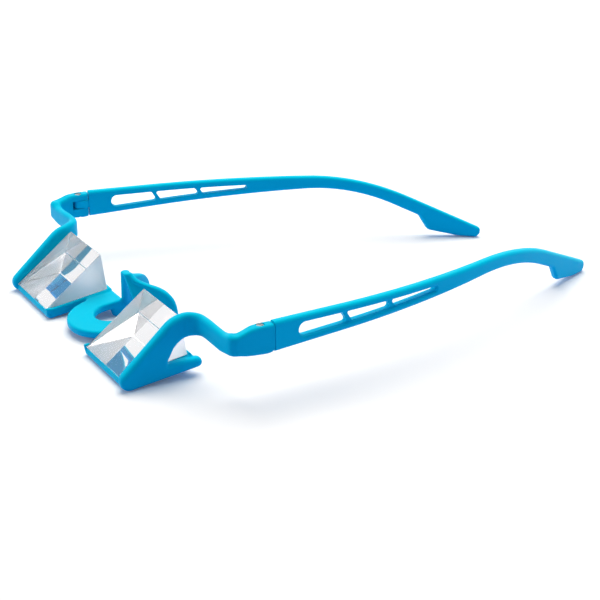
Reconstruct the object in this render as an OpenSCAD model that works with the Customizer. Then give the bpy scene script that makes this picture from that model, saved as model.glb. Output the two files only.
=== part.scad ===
// Belay glasses: a moulded front with two glass prisms and two folding temples.
// They lie open on a table: +X is the wearer's left, +Y runs back along the
// temples and +Z is up. All sizes are in millimetres.

/* [Prisms] */
// Width of each glass prism
prism_width = 26.8; // [23:0.1:29]
// Length of the slanted face that light enters
prism_face = 26.5; // [24:0.1:28]
// Angle of the prism's sharp front edge
prism_angle = 30; // [28:0.5:32]
// Distance between the centres of the two prisms
prism_spacing = 62; // [60:0.5:66]
// Tilt of the mirrored face above the table
prism_pitch = 7.4; // [6:0.1:9]
// Flat ground on each long edge of a prism
prism_bevel = 0.4; // [0.2:0.05:0.7]
// Thickness of the mirror coating and its paint
mirror_t = 0.1; // [0.06:0.01:0.2]
// Thickness of the adhesive bed
adhesive_t = 0.2; // [0.1:0.05:0.4]
// Gap between the glass and the plastic beside it
glass_gap = 0.15; // [0.1:0.01:0.3]

/* [Trays and cheeks] */
// Thickness of the tray floor under a prism
floor_t = 3.1; // [2.4:0.1:3.6]
// Radius of the tray's front edge
tray_r = 2.2; // [1.8:0.1:2.6]
// Width of the ledge on the nose side of a prism
ledge_w = 1.4; // [1:0.1:2]
// Height of the lip behind a prism above its lower face
lip_h = 1.2; // [0.6:0.1:1.6]
// Thickness of the lip behind a prism
lip_t = 1.1; // [0.8:0.1:1.6]
// Thickness of each cheek
cheek_t = 3.8; // [3:0.1:4.4]
// Radius of a cheek's front end
cheek_r = 3.2; // [2.8:0.1:3.6]
// Height of a cheek's arch above the prism's upper edge
arch_rise = 1.9; // [1.4:0.1:2.6]
// Radius of a cheek's arch
arch_r = 10.3; // [9:0.1:12]
// Radius of the open slot in a cheek
slot_r = 7.4; // [6.4:0.1:7.8]
// Height of the prong below the slot
prong_h = 4.5; // [3.8:0.1:5]
// Length of the prong past the prism's lower rear edge
prong_over = 3.1; // [2.4:0.1:4]

/* [Bridge and nose piece] */
// Thickness of the horseshoe plate
bridge_t = 2.7; // [2.2:0.1:3.2]
// Outer radius of the horseshoe
bridge_r = 14.9; // [14:0.1:15.5]
// Radius of the notch for the nose
notch_r = 6.6; // [6:0.1:7.2]
// Height of the crown where the two pads meet
crown_z = 18.6; // [17:0.1:20]
// Thickness of a nose pad
pad_t = 2.8; // [2.2:0.1:3.2]
// Outward flare of a nose pad from its front to its rear
pad_flare = 3.2; // [2.4:0.1:4]
// Length of the nose pads behind the horseshoe
pad_length = 11.8; // [10:0.1:14]

/* [Arms and hinges] */
// Distance from a cheek's outer face to the outer face of the hinge lug
arm_reach = 24.2; // [21:0.1:28]
// Thickness of the arm between cheek and lug
arm_t = 3; // [2.6:0.1:3.4]
// Height of the arm
arm_h = 5.5; // [5:0.1:6]
// Thickness of the hinge lug
lug_t = 4.1; // [4:0.1:4.6]
// Distance from the prism's sharp edge back to the hinge screw
hinge_back = 34.5; // [33:0.1:38]
// Height of the tongue's middle above the table
hinge_z = 19.5; // [19:0.1:20]
// Thickness of the fork's upper ear, which holds the screw's head
upper_ear_t = 2.5; // [2.2:0.1:2.8]
// Thickness of the fork's lower ear, which holds the nut
lower_ear_t = 3; // [2.6:0.1:3.2]
// Thickness of the lug's wall outside the tongue
lug_wall = 0.75; // [0.6:0.05:0.8]
// Height of the temple's hinge tongue
tongue_h = 2.9; // [2.4:0.1:3.2]
// Diameter of the hinge tongue's round end
tongue_d = 3; // [2.6:0.1:3.2]
// Clearance above and below the tongue
tongue_gap = 0.15; // [0.1:0.01:0.25]
// Open part of the slot in front of the tongue
slot_room = 1.3; // [0.2:0.1:1.6]
// Diameter of the hinge screw's shank
screw_d = 1.4; // [1.2:0.1:1.6]
// Diameter of the hinge screw's head
head_d = 2.5; // [2.2:0.1:2.7]
// Height of the hinge screw's head
head_h = 0.8; // [0.6:0.1:1]
// Width of the nut across its flats
nut_w = 2.5; // [2.3:0.1:2.7]
// Height of the nut
nut_h = 1.2; // [1:0.1:1.4]
// Radial clearance between the screw and the hole that turns on it
pin_gap = 0.05; // [0.02:0.01:0.08]

/* [Temples] */
// Distance from the hinge screw back to the end of the temple
temple_length = 152.3; // [147:0.5:157]
// Distance from the bend over the ear back to the end of the temple
tail_length = 44.1; // [40:0.1:48]
// Thickness of the temple
temple_t = 3.4; // [3:0.1:3.8]
// Height of the temple's upper edge above the table
temple_top = 24.2; // [23.8:0.1:25]
// Height of the temple at the hinge
root_h = 9.8; // [9.6:0.1:10.4]
// Rise of the lower edge towards the ear
taper_angle = 3.3; // [2.8:0.1:3.6]
// Height of the upper corner at the end of the temple
tip_top = 3.17; // [2.8:0.01:3.6]
// Height of the temple's rear end across its slope
tail_h = 5.2; // [4.6:0.1:5.8]
// Radius of the bend over the ear
ear_r = 90; // [80:1:100]
// Radius of the inward bow, seen from above
bow_r = 250; // [230:1:280]
// Inward angle at the end of the bow
bow_angle = 20.6; // [16:0.1:22]
// Height of the rails above and below the windows
rail_h = 2.3; // [2:0.05:2.5]
// Width of the slanted struts between windows
strut_w = 3.2; // [2.6:0.1:3.8]
// Length of the front two windows
window_length = 13.9; // [12:0.1:14.5]
// Angle by which the wearer's right temple is partly folded
right_fold = 13.4; // [0:0.1:20]

/* [Hidden] */
$fn = 48;

// Moulded parts run into each other by this much
bite = 0.4;

// The prism stands on its mirrored face: u runs back along it and v is square to it
prism_base = prism_face * cos(prism_angle);
prism_back = prism_face * sin(prism_angle);
bed_t = mirror_t + adhesive_t;
rise = tan(prism_pitch);
// The tray's round front edge and the cheek's round front end both touch the table
tray_y = tray_r - 0.25;
under_z = tray_r - tray_r / cos(prism_pitch) - tray_y * rise;
cheek_y = (cheek_r - cheek_r / cos(prism_pitch) - under_z) / rise;
front_y = cheek_y - cheek_r;
edge_z = under_z + (floor_t + bed_t) / cos(prism_pitch);
function from_prism(u, v) = [
    u * cos(prism_pitch) - v * sin(prism_pitch),
    edge_z + u * sin(prism_pitch) + v * cos(prism_pitch)
];
function under(y) = [y, under_z + y * rise];
prism_top = from_prism(prism_base, prism_back);
prism_rear = from_prism(prism_base, 0);

// Places across the frame
glass_in = (prism_spacing - prism_width) / 2;
glass_out = glass_in + prism_width;
tray_in = glass_in - glass_gap - ledge_w;
cheek_in = glass_out + glass_gap;
cheek_out = cheek_in + cheek_t;
lug_out = cheek_out + arm_reach;
lug_in = lug_out - lug_t;
hinge_x = lug_in + 1.7;

// Places along the frame
rear_y = hinge_back + temple_length;
middle_y = (front_y + rear_y) / 2;
arm_rear = prism_rear[0] + 3.7;
arm_front = arm_rear - arm_t;
lug_end = 3.7;
temple_start = 4;

// Heights of the hinge
slot_h = tongue_h + 2 * tongue_gap;
ear_top = hinge_z + slot_h / 2 + upper_ear_t;
ear_low = hinge_z - slot_h / 2 - lower_ear_t;
head_z = ear_top - head_h - 0.15;
nut_z = ear_low + 0.1;

function unit(v) = v / norm(v);
function on_circle(c, r, a) = [c[0] + r * cos(a), c[1] + r * sin(a)];
function arc(c, r, a0, a1, n = 8) = [for (i = [0:n]) on_circle(c, r, a0 + (a1 - a0) * i / n)];
// An outline whose corners are [x, y, radius]: each becomes an arc that touches its two sides
function rounded(corners, n = 5) = [
    for (i = [0:len(corners) - 1])
        let (
            m = len(corners),
            here = [corners[i][0], corners[i][1]],
            back = corners[(i + m - 1) % m],
            ahead = corners[(i + 1) % m],
            a = unit([back[0], back[1]] - here),
            b = unit([ahead[0], ahead[1]] - here),
            half = acos(min(1, max(-1, a * b))) / 2,
            c = here + unit(a + b) * corners[i][2] / sin(half),
            way = (a[0] * b[1] - a[1] * b[0] > 0 ? 1 : -1) * (90 - half),
            out = atan2(here[1] - c[1], here[0] - c[0])
        )
        each corners[i][2] == 0 ? [here] : arc(c, corners[i][2], out + way, out - way, n)
];

// Children drawn in the upright plane (Y, Z) and run across X from x0 to x1
module upright(x0, x1) {
    translate([x0, 0, 0]) rotate([90, 0, 90]) linear_extrude(height = x1 - x0) children();
}
// Children drawn in the upright plane (X, Z) and run along Y from y0 to y1
module across(y0, y1) {
    translate([0, y1, 0]) rotate([90, 0, 0]) linear_extrude(height = y1 - y0) children();
}
// Children drawn in the level plane (X, Y) and run up from z0 to z1
module level(z0, z1) {
    translate([0, 0, z0]) linear_extrude(height = z1 - z0) children();
}
// Puts the origin under the middle of the whole object
module in_place() {
    translate([0, -middle_y, 0]) children();
}
module both_sides() {
    children();
    mirror([1, 0, 0]) children();
}
// One solid through rings of points that all have the same count
module loft(rings) {
    n = len(rings[0]);
    last = len(rings) - 1;
    points = [for (ring = rings) each ring];
    sides = [
        for (i = [0:last - 1], j = [0:n - 1])
            let (k = (j + 1) % n)
            each [
                [i * n + j, (i + 1) * n + k, i * n + k],
                [i * n + j, (i + 1) * n + j, (i + 1) * n + k]
            ]
    ];
    caps = [[for (j = [0:n - 1]) j], [for (j = [n - 1:-1:0]) last * n + j]];
    polyhedron(points, concat(sides, caps), convexity = 4);
}

// The prism with its ground edges
module prism() {
    s = prism_bevel;
    tip = s / tan(prism_angle / 2) / 2;
    color([0.9, 0.91, 0.94, 0.5])
    in_place() upright(glass_in, glass_out) polygon([
        from_prism(tip, 0),
        from_prism(prism_base - s, 0),
        from_prism(prism_base, s),
        from_prism(prism_base, prism_back - s),
        from_prism(prism_base - s * cos(prism_angle), prism_back - s * sin(prism_angle)),
        from_prism(tip * cos(prism_angle), tip * sin(prism_angle))
    ]);
}
// A layer under the prism, from depth v0 to depth v1 below its mirrored face
module layer(v0, v1, inset) {
    in_place() upright(glass_in + inset, glass_out - inset) polygon([
        from_prism(0.8 + inset, -v1), from_prism(prism_base - prism_bevel - inset, -v1),
        from_prism(prism_base - prism_bevel - inset, -v0), from_prism(0.8 + inset, -v0)
    ]);
}
module prism_mirror() {
    color([0.8, 0.82, 0.85]) layer(0, mirror_t, 0);
}
module prism_adhesive() {
    color([0.75, 0.78, 0.8]) layer(mirror_t, bed_t, 0.8);
}

// The tray: a floor with a round front edge, a ledge beside the glass and a lip behind it
module tray() {
    rear_u = prism_base + glass_gap;
    rear_point = from_prism(rear_u + lip_t, 0);
    upright(tray_in, cheek_in + bite) polygon(concat(
        arc([tray_y, tray_r], tray_r, 165, 270 + prism_pitch),
        [
            under(rear_point[0]), from_prism(rear_u + lip_t, lip_h - 0.5),
            from_prism(rear_u + lip_t - 0.4, lip_h), from_prism(rear_u, lip_h),
            from_prism(rear_u, -bed_t), from_prism(0.4, -bed_t)
        ]
    ));
    upright(tray_in, glass_in - glass_gap) polygon([
        from_prism(0.4, -1), from_prism(rear_u + 0.5, -1),
        from_prism(rear_u + 0.5, 0.3), from_prism(0.4, 0.4)
    ]);
}

// The cheek's arch, its slot and the prong under the slot
arch_c = [prism_top[0] + 0.2, prism_top[1] + arch_rise - arch_r];
slot_c = [arch_c[0] + 0.3, prism_rear[1] + 0.8];
front_c = [cheek_y, cheek_r];
prong_y = prism_rear[0] + prong_over;
prong_r = prong_h / 2;
prong_z = under(prong_y - prong_r)[1] + prong_h / 2 + 0.03;
prong_top = prong_z + prong_r;
slot_top = slot_c[1] + slot_r;
arm_top = arch_c[1] + arch_r - 0.7;
arm_low = arm_top - arm_h;
// Angle of the normal to the line that touches the front end and the arch
brow = let (d = arch_c - front_c)
    atan2(d[1], d[0]) + acos((cheek_r - arch_r) / norm(d));
module arch_side() {
    polygon(concat(
        arc(front_c, cheek_r, 270 + prism_pitch, brow, 12),
        arc(arch_c, arch_r, brow, asin((arm_top - arch_c[1]) / arch_r), 12),
        [[prong_y + 3, arm_top], under(prong_y + 3)]
    ));
}
module slot_side() {
    polygon(concat(
        arc(slot_c, slot_r, 90, 180 - asin((prong_top - slot_c[1]) / slot_r), 12),
        [[prong_y - prong_r, prong_top]],
        arc([prong_y - prong_r, prong_z], prong_r, 80, -90 + prism_pitch, 8),
        [under(prong_y + 1) - [0, 1], [prong_y + 4, 0], [prong_y + 4, slot_top]]
    ));
}
// The strip seen from above: up the cheek, round the bend, along the arm and round the elbow
module strip_plan() {
    polygon(rounded([
        [cheek_in, front_y - 1, 0], [cheek_out, front_y - 1, 0],
        [cheek_out, arm_front, 4.4], [lug_out, arm_front, 2.6],
        [lug_out, arm_rear + 2, 0], [lug_in, arm_rear + 2, 0], [lug_in, arm_rear, 1.2],
        [cheek_in, arm_rear, 7.6]
    ]));
}
module cheek() {
    intersection() {
        union() {
            level(-1, prong_top + 1) translate([cheek_in, front_y - 1])
                square([cheek_t, prong_y - front_y + 2]);
            level(prong_top + 1, ear_top) strip_plan();
        }
        upright(cheek_in - 1, cheek_out + 6) difference() {
            arch_side();
            slot_side();
        }
        across(front_y - 1, arm_rear + 3) polygon([
            [cheek_in - 1, -1], [cheek_out, -1], [cheek_out, slot_top], [cheek_out + 2, slot_top],
            [cheek_out + 6, arm_low], [cheek_out + 6, arm_top], [cheek_out + 4, arm_top],
            [cheek_out, arm_top + 0.7], [cheek_in - 1, arm_top + 0.7]
        ]);
    }
}
// The arm's outline from the front, between the cheek and the lug
elbow_low = arm_low + 1.6;
elbow_top = ear_top - 1.4;
module arm() {
    arm_x = cheek_out + 5.5;
    intersection() {
        level(0, ear_top) strip_plan();
        across(arm_front - 1, arm_rear + 3) polygon(rounded([
            [arm_x, arm_low, 0], [lug_in - 3, arm_low, 6], [lug_in + 1, elbow_low, 3],
            [lug_out + 1, elbow_low, 0], [lug_out + 1, elbow_top, 0],
            [lug_in, elbow_top, 3], [lug_in - 4.5, arm_top, 5], [arm_x, arm_top, 0]
        ]));
    }
}
// The lug behind the elbow, forked for the temple's tongue
module lug() {
    end = hinge_back + lug_end;
    start = arm_front + 2.6;
    difference() {
        intersection() {
            upright(lug_in, lug_out) polygon([
                [start, elbow_low], [arm_rear + 1.6, elbow_low - 0.6],
                [hinge_back - 3, ear_low + 0.6], [hinge_back - 0.5, ear_low],
                [end, ear_low], [end, ear_top], [hinge_back - 1, ear_top],
                [hinge_back - 3.5, ear_top - 0.5], [arm_rear + 1.6, elbow_top], [start, elbow_top]
            ]);
            level(ear_low - 1, ear_top + 1) union() {
                polygon([
                    [lug_in, arm_front], [lug_out, arm_front], [lug_out, end],
                    [hinge_x, end], [hinge_x, hinge_back], [lug_in, hinge_back]
                ]);
                translate([hinge_x, hinge_back]) circle(r = lug_end);
            }
        }
        translate([lug_in - 1, hinge_back - tongue_d / 2 - slot_room, hinge_z - slot_h / 2])
            cube([lug_t + 1 - lug_wall, 10, slot_h]);
        translate([hinge_x, hinge_back, ear_low - 1]) cylinder(h = 12, r = screw_d / 2 + 0.02);
        translate([hinge_x, hinge_back, head_z]) cylinder(h = 3, r = head_d / 2 + 0.05);
        translate([hinge_x, hinge_back, ear_low - 1])
            cylinder(h = nut_z + nut_h + 1 - ear_low, d = (nut_w + 0.06) / cos(30), $fn = 6);
    }
}

// The horseshoe plate, its notch open towards the wearer
bridge_y = tray_y + bridge_r - 0.35;
bridge_z = edge_z + 0.8;
bridge_rear = prism_rear[0] + 1.3;
module bridge() {
    flare = on_circle([0, bridge_y], bridge_r, -16);
    side = concat(
        arc([0, bridge_y], bridge_r, -90, -16, 12),
        [
            [flare[0] + 0.5, flare[1] + 1.2], [tray_in + bite, flare[1] + 2.1],
            [tray_in + bite, bridge_rear], [notch_r, bridge_rear]
        ],
        arc([0, bridge_y + 1], notch_r, 0, -90, 10)
    );
    both_sides()
        translate([0, 0, bridge_z - bridge_t]) rotate([4.6, 0, 0]) linear_extrude(height = bridge_t)
        polygon(concat([[-0.01, bridge_y - bridge_r]], side, [[-0.01, bridge_y + 1 - notch_r]]));
}
// One nose pad as level strips: its front edge leans in to the crown, its rear edge curves over
pad_low = bridge_z - 0.5;
pad_x = notch_r + pad_t / 2 - 0.2;
pad_rear = bridge_rear + pad_length - pad_t / 2;
function pad_strip(z, front, rear) =
    let (e = rear - front, lean = atan2(e[1], e[0]))
    [
        for (p = concat(
            arc(front, pad_t / 2, lean + 90, lean + 270, 4),
            arc(rear, pad_t / 2, lean - 90, lean + 90, 4)
        )) [p[0], p[1], z]
    ];
module nose_pad() {
    loft([
        for (s = [0, 0.2, 1])
            pad_strip(
                0.6 + s * (pad_low - 0.6),
                [pad_x, bridge_rear - 2.6 - 1.4 * s],
                [pad_x + pad_flare - 0.4 * pow(1 - s, 3), pad_rear - 1.8 * pow(1 - s, 3)]
            )
    ]);
    loft([
        for (s = [0:0.1:1])
            pad_strip(
                pad_low + s * (crown_z - pad_low),
                [pad_x + (0.8 - pad_x) * s, bridge_rear + 1.2 - 2.6 * s],
                [
                    pad_x + pad_flare + (0.9 - pad_x - pad_flare) * pow(s, 3.4),
                    pad_rear + (bridge_rear - 1.3 - pad_rear) * pow(s, 2.3)
                ]
            )
    ]);
}
module front_frame() {
    color([0, 0.63, 0.85]) in_place() {
        both_sides() {
            tray();
            cheek();
            arm();
            lug();
            nose_pad();
        }
        bridge();
    }
}

// The screw that a temple turns on
module hinge_screw() {
    color([0.72, 0.73, 0.75]) in_place() translate([hinge_x, hinge_back, 0]) difference() {
        union() {
            translate([0, 0, nut_z]) cylinder(h = head_z - nut_z + 0.1, d = screw_d);
            translate([0, 0, head_z]) cylinder(h = head_h, d = head_d);
        }
        translate([-2, -0.2, head_z + head_h - 0.4]) cube([4, 0.4, 1]);
    }
}
// The nut caught in the lower ear
module hinge_nut() {
    color([0.66, 0.67, 0.69]) in_place() translate([hinge_x, hinge_back, nut_z]) difference() {
        cylinder(h = nut_h, d = nut_w / cos(30), $fn = 6);
        translate([0, 0, -1]) cylinder(h = nut_h + 2, r = screw_d / 2 + 0.02);
    }
}

// The temple's outline from the side
root_y = hinge_back + temple_start;
root_z = temple_top - root_h;
ear_y = rear_y - tail_length;
fall = (temple_top - tip_top) / tail_length;
climb = tan(taper_angle);
// Height of the tail measured straight up
tail_rise = tail_h * sqrt(1 + fall * fall);
// Height of the tail's upper and lower edges, and of the straight lower edge
function tail_top(y) = temple_top - (y - ear_y) * fall;
function tail_low(y) = tail_top(y) - tail_rise;
function low_edge(y) = root_z + (y - root_y) * climb;
ear_low_y = (temple_top - tail_rise - root_z + ear_y * fall + root_y * climb) / (fall + climb);
module temple_side() {
    heel = rear_y - 18.5;
    polygon(rounded([
        [root_y, root_z, 0.4],
        [ear_low_y, low_edge(ear_low_y), ear_r * 0.78],
        [heel - 4.2, tail_low(heel - 4.2), 1.2],
        [heel - 0.8, 3.4, 2],
        [rear_y - 8, 0.9, 20],
        [rear_y - 1.4, -0.02, 1],
        [rear_y, 1.6, 1],
        [rear_y, tail_top(rear_y), 0.7],
        [ear_y, temple_top, ear_r],
        [root_y, temple_top, 0.6]
    ], 12));
}
// The temple seen from above: straight, then bowed inward, then straight again
module temple_plan() {
    mid = lug_out - temple_t / 2;
    bow_y = hinge_back + 27.5;
    c = [mid - bow_r, bow_y];
    out = arc(c, bow_r + temple_t / 2, 0, bow_angle, 14);
    in = arc(c, bow_r - temple_t / 2, bow_angle, 0, 14);
    run = [-sin(bow_angle), cos(bow_angle)] * temple_length;
    polygon(concat(
        [[lug_out, root_y]], out, [out[14] + run, in[0] + run], in, [[lug_out - temple_t, root_y]]
    ));
}
// The windows that lighten the temple: their ends lean forwards, and the last one tapers off
window_z = temple_top - rail_h;
slant = 2.1;
first_window = hinge_back + 12.8 + window_length;
step = window_length + strut_w;
function sill(y) = low_edge(y) + rail_h / cos(taper_angle);
module window(y0, y1, r_front, r_rear) {
    polygon(rounded([
        [y0 + slant, sill(y0 + slant), r_front], [y1 + slant, sill(y1 + slant), r_rear],
        [y1, window_z, 1], [y0, window_z, r_front]
    ], 4));
}
module windows() {
    window(first_window - window_length - 1.4, first_window, 1.4, 0.9);
    window(first_window + strut_w, first_window + step, 1, 0.9);
    window(first_window + step + strut_w, first_window + 2 * step + 3.3, 1, 0.8);
}
module temple() {
    color([0, 0.63, 0.85]) in_place() {
        difference() {
            intersection() {
                upright(0, lug_out + 1) temple_side();
                level(-1, temple_top + 1) temple_plan();
            }
            upright(lug_out - 20, lug_out + 1) windows();
        }
        difference() {
            translate([0, 0, hinge_z - tongue_h / 2]) linear_extrude(height = tongue_h) union() {
                translate([hinge_x, hinge_back]) circle(d = tongue_d);
                polygon([
                    [hinge_x - tongue_d / 2, hinge_back], [hinge_x + tongue_d / 2, hinge_back],
                    [hinge_x + tongue_d / 2, root_y + bite], [lug_out - temple_t + 0.1, root_y + bite],
                    [hinge_x - tongue_d / 2, hinge_back + 3]
                ]);
            }
            translate([hinge_x, hinge_back, 0]) cylinder(h = 40, r = screw_d / 2 + pin_gap);
        }
    }
}
// The right temple mirrors the left one and is turned in about its own screw
module temple_mirrored() {
    pivot = [-hinge_x, hinge_back - middle_y, 0];
    translate(pivot) rotate([0, 0, -right_fold]) translate(-pivot) mirror([1, 0, 0]) temple();
}

front_frame();
prism();  // prism_left
mirror([1, 0, 0]) prism();  // prism_right
prism_mirror();  // prism_mirror_left
mirror([1, 0, 0]) prism_mirror();  // prism_mirror_right
prism_adhesive();  // prism_adhesive_left
mirror([1, 0, 0]) prism_adhesive();  // prism_adhesive_right
hinge_screw();  // hinge_screw_left
mirror([1, 0, 0]) hinge_screw();  // hinge_screw_right
hinge_nut();  // hinge_nut_left
mirror([1, 0, 0]) hinge_nut();  // hinge_nut_right
temple();  // temple_left
temple_mirrored();  // temple_right
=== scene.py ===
"""Belay glasses: a moulded front that holds two glass prisms, and two folding temples.

Every shape is modelled in millimetres, with x = 0 at the middle, y = 0 at the prisms' sharp
front edge and z = 0 on the table, and is moved to the frame's place, in metres, when it is done.
"""
import logging
from dataclasses import dataclass
from enum import Enum
from math import acos, asin, atan2, cos, degrees, hypot, pi, radians, sin, sqrt, tan

import bmesh
import bpy
from mathutils import Matrix, Vector


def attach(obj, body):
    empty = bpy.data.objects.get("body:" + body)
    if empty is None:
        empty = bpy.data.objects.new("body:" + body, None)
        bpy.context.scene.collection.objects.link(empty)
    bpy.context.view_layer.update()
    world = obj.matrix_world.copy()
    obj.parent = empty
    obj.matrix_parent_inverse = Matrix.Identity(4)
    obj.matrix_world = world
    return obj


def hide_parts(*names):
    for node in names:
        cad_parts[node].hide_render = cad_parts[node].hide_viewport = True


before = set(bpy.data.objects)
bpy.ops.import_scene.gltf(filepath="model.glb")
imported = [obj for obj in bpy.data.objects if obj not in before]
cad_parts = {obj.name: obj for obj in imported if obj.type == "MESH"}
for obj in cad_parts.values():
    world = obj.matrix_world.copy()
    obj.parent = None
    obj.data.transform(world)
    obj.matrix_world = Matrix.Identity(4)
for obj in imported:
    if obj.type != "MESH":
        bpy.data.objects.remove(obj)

log = logging.getLogger("belay_glasses")

Point = tuple[float, float]
Place = tuple[float, float, float]
Corner = tuple[float, float, float]
Colour = tuple[float, float, float]
Outline = tuple[Point, ...]
Socket = bpy.types.NodeSocket
Input = Socket | Colour | float

MM = 0.001
# Distance from the prisms' sharp edge to the middle of the whole object
MIDDLE_Y = 92.743
TO_FRAME = Matrix.Scale(MM, 4) @ Matrix.Translation((0.0, -MIDDLE_Y, 0.0))
# Turns a shape drawn in (y, z) and run along z into one that runs along x
UPRIGHT = Matrix(((0, 0, 1, 0), (1, 0, 0, 0), (0, 1, 0, 0), (0, 0, 0, 1)))
# Vertices nearer to each other than this are one
MERGE = 1e-5
# Vertices nearer to a cutting plane than this lie on it
NEAR = 1e-4
# How far a cut reaches past what it cuts
PAST = 1.0
WHITE = (1.0, 1.0, 1.0)
BLACK = (0.0, 0.0, 0.0)


class Side(Enum):
    """The wearer's left and right, with the sign of x there."""

    LEFT = 1
    RIGHT = -1

    @property
    def word(self) -> str:
        """The side's word in the names of pieces."""
        return self.name.lower()


class Join(Enum):
    """How a tool acts on a body."""

    CUT = "DIFFERENCE"
    ADD = "UNION"


# Outlines


def on_arc(centre: Point, radius: float, angle: float) -> Point:
    """The point of a circle at an angle in degrees."""
    return centre[0] + radius * cos(radians(angle)), centre[1] + radius * sin(radians(angle))


def arc(centre: Point, radius: float, start: float, end: float, steps: int) -> list[Point]:
    """Points on an arc.

    Args:
        centre: The arc's centre.
        radius: Its radius.
        start: Angle of the first point, in degrees.
        end: Angle of the last point, in degrees.
        steps: How many straight steps it has.

    Returns:
        The points, the first and last included.
    """
    return [on_arc(centre, radius, start + (end - start) * i / steps) for i in range(steps + 1)]


def between(start: Point, end: Point, t: float) -> Point:
    """The point a share t of the way from start to end."""
    return start[0] + (end[0] - start[0]) * t, start[1] + (end[1] - start[1]) * t


def rounded(corners: list[Corner], steps: int) -> list[Point]:
    """An outline whose corners are arcs that touch their two sides.

    Args:
        corners: Each corner's place and radius.
        steps: Straight steps in each arc.

    Returns:
        The outline's points, in order.
    """
    points: list[Point] = []
    for i, (x, y, radius) in enumerate(corners):
        if radius == 0:
            points.append((x, y))
            continue
        here = Vector((x, y))
        back = (Vector(corners[i - 1][:2]) - here).normalized()
        ahead = (Vector(corners[(i + 1) % len(corners)][:2]) - here).normalized()
        half = acos(max(-1.0, min(1.0, back.dot(ahead)))) / 2
        centre = here + (back + ahead).normalized() * radius / sin(half)
        turn = 1 if back.x * ahead.y - back.y * ahead.x > 0 else -1
        way = turn * (90 - degrees(half))
        out = degrees(atan2(here.y - centre.y, here.x - centre.x))
        points += arc(tuple(centre), radius, out + way, out - way, steps)
    return points


def grown(corners: list[Corner], growth: float) -> list[Corner]:
    """A convex outline, drawn anticlockwise, with each side moved outwards.

    Args:
        corners: Each corner's place and radius.
        growth: How far each side moves.

    Returns:
        The corners of the larger outline.
    """
    larger: list[Corner] = []
    for i, (x, y, radius) in enumerate(corners):
        here = Vector((x, y))
        before = (here - Vector(corners[i - 1][:2])).normalized()
        after = (Vector(corners[(i + 1) % len(corners)][:2]) - here).normalized()
        normal = (Vector((before.y, -before.x)) + Vector((after.y, -after.x))).normalized()
        moved = here + normal * (growth / normal.dot(Vector((after.y, -after.x))))
        larger.append((moved.x, moved.y, radius + growth))
    return larger


def ease(t: float) -> float:
    """A smooth step from 0 to 1 as t goes from 0 to 1."""
    t = max(0.0, min(1.0, t))
    return t * t * (3 - 2 * t)


def along(t: float, knots: Outline) -> float:
    """The height at t of a smooth curve through knots, level at its ends.

    Args:
        t: The place.
        knots: Places and heights, in order.

    Returns:
        The height.
    """
    t = max(knots[0][0], min(knots[-1][0], t))
    slopes = [0.0] + [(h1 - h0) / (t1 - t0) for (t0, h0), (t1, h1) in zip(knots, knots[2:])] + [0.0]
    for (t0, h0), (t1, h1), m0, m1 in zip(knots, knots[1:], slopes, slopes[1:]):
        if t <= t1:
            span = t1 - t0
            s = (t - t0) / span
            bend = s * (1 - s) * span * (m0 * (1 - s) - m1 * s)
            return h0 + (h1 - h0) * ease(s) + bend
    return knots[-1][1]


# Mesh work


def all_of(bm: bmesh.types.BMesh) -> list:
    """All the vertices, edges and faces of a mesh."""
    return bm.verts[:] + bm.edges[:] + bm.faces[:]


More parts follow.
